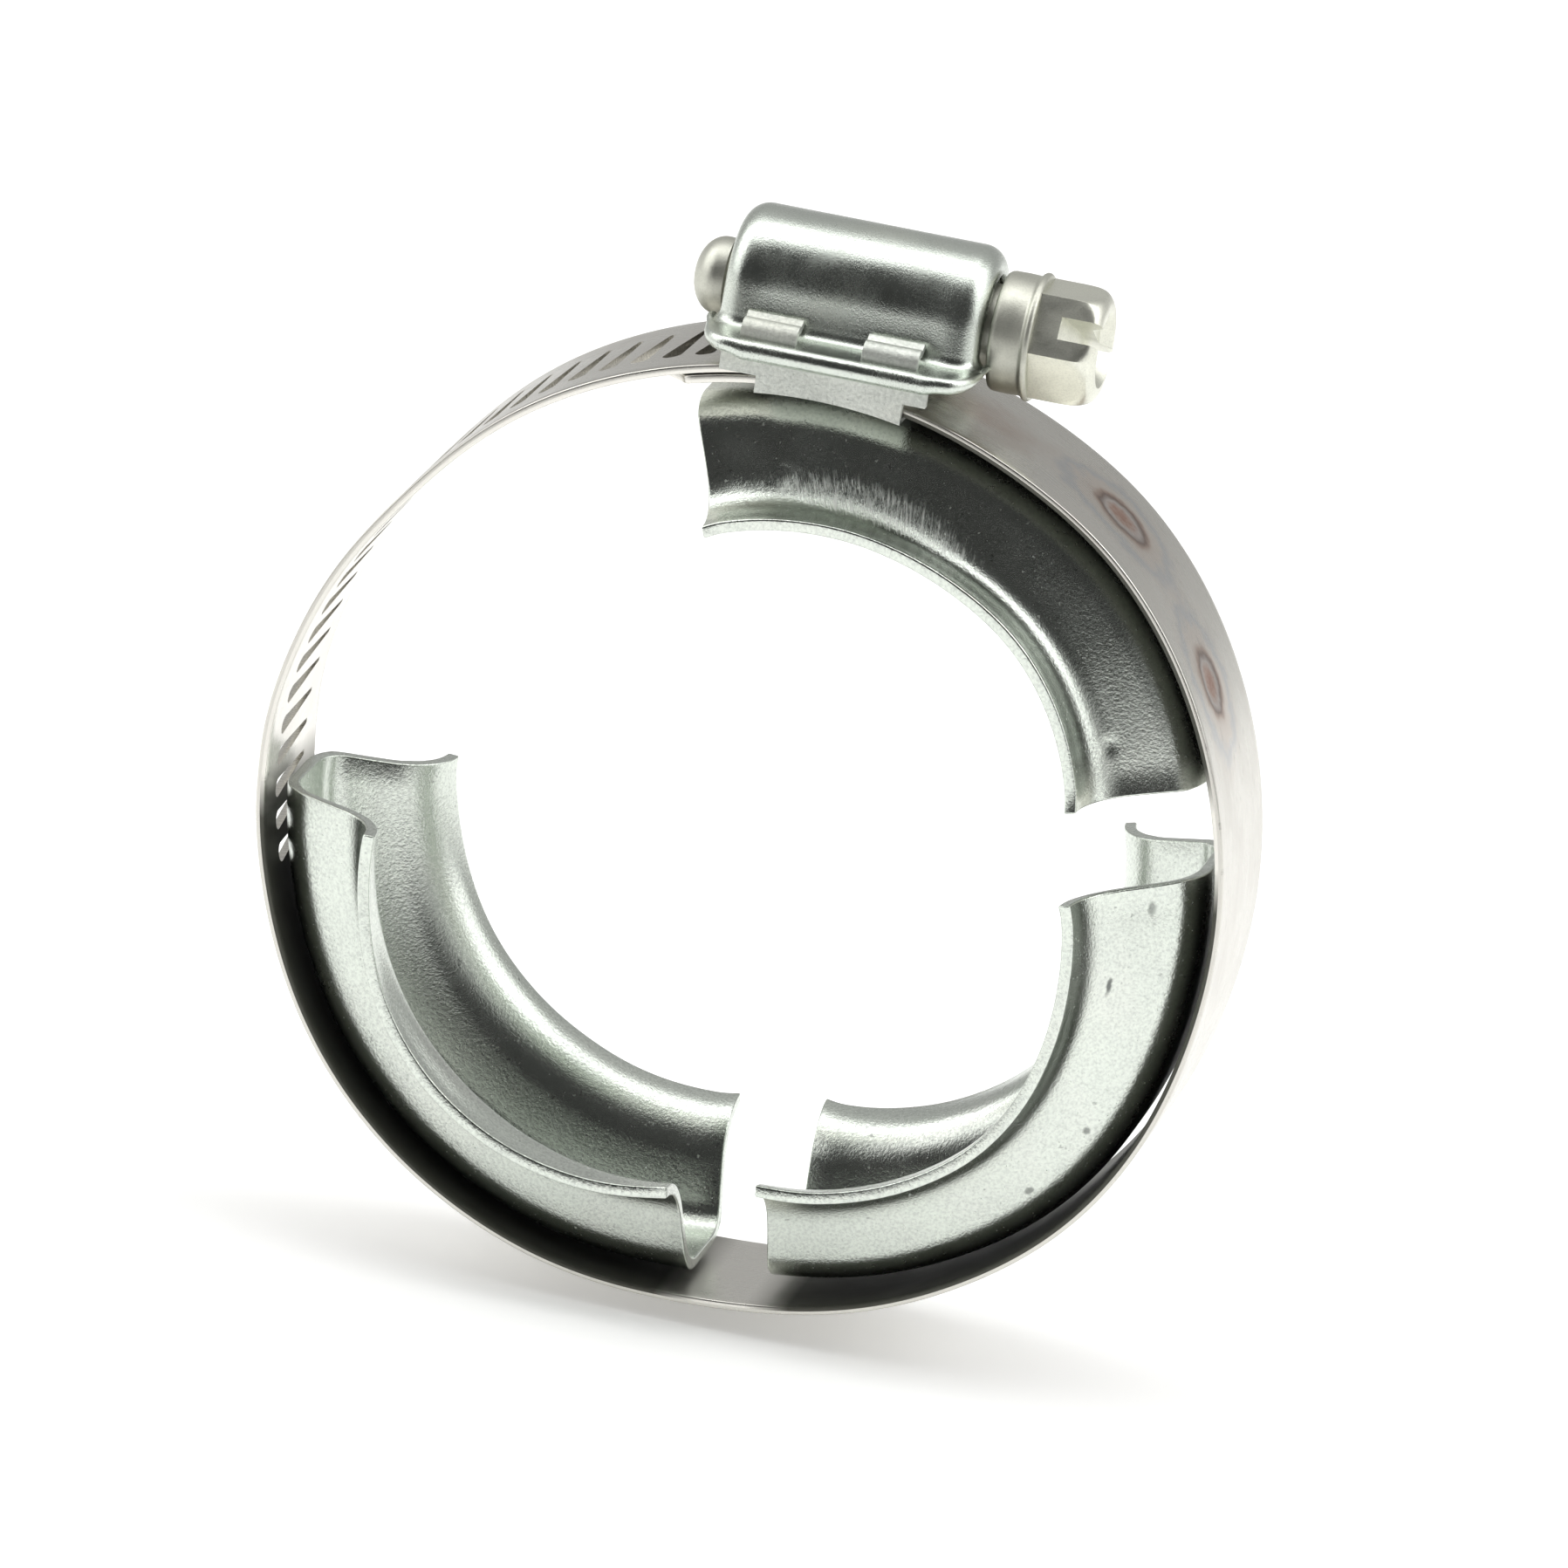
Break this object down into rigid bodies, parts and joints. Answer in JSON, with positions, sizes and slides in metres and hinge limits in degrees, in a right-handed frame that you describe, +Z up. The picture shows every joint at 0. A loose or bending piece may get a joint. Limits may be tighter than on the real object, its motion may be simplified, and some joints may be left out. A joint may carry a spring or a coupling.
{
  "type": "hose clamp",
  "caption": "Worm-drive band clamp whose ring carries V-section retainers that pull two pipe flanges together.",
  "frame": {"origin": "centre of the ring, halfway through its width", "axes": "+Z up to the screw housing, +X towards the screw's hex head, +Y along the ring's axis, away from the face that shows the front edge of the band"},
  "size_m": [0.0729, 0.0222, 0.0821],
  "materials": {
    "stainless_band": "bright rolled strip",
    "bright_plated": "bright zinc plate",
    "dull_plated": "dull galvanised",
    "zinc_screw": "zinc plate, slightly yellow"
  },
  "bodies": {
    "frame": {"cover_housing": "bright_plated", "saddle": "dull_plated", "band_fixed_stretch": "stainless_band", "retainer_1": "bright_plated"},
    "lower_link": {"band_lower_stretch": "stainless_band", "retainer_2": "bright_plated"},
    "left_link": {"band_left_stretch": "stainless_band", "retainer_3": "bright_plated"},
    "tail_link": {"band_slotted_tail": "stainless_band"},
    "screw": {"worm_screw": "zinc_screw"}
  },
  "joints": [
    {"name": "screw_turn", "type": "hinge", "parent": "frame", "child": "screw", "pos_m": [0.0022, 0, 0.04059], "axis": [-1, 0, 0], "range_deg": [-360, 1080]},
    {"name": "flex_right", "type": "hinge", "parent": "frame", "child": "lower_link", "pos_m": [0.03529, 0, 0.00737], "axis": [0, 1, 0], "range_deg": [-1.7, 5.06]},
    {"name": "flex_bottom", "type": "hinge", "parent": "lower_link", "child": "left_link", "pos_m": [0.00351, 0, -0.03514], "axis": [0, 1, 0], "range_deg": [-0.6, 1.75]},
    {"name": "flex_left", "type": "hinge", "parent": "left_link", "child": "tail_link", "pos_m": [-0.0362, 0, 0], "axis": [0, 1, 0], "range_deg": [-1.57, 4.68]}
  ],
  "couplings": [
    {"joint": "flex_right", "follows": "screw_turn", "ratio": 0.0046488},
    {"joint": "flex_bottom", "follows": "screw_turn", "ratio": 0.001607},
    {"joint": "flex_left", "follows": "screw_turn", "ratio": 0.0043025}
  ]
}
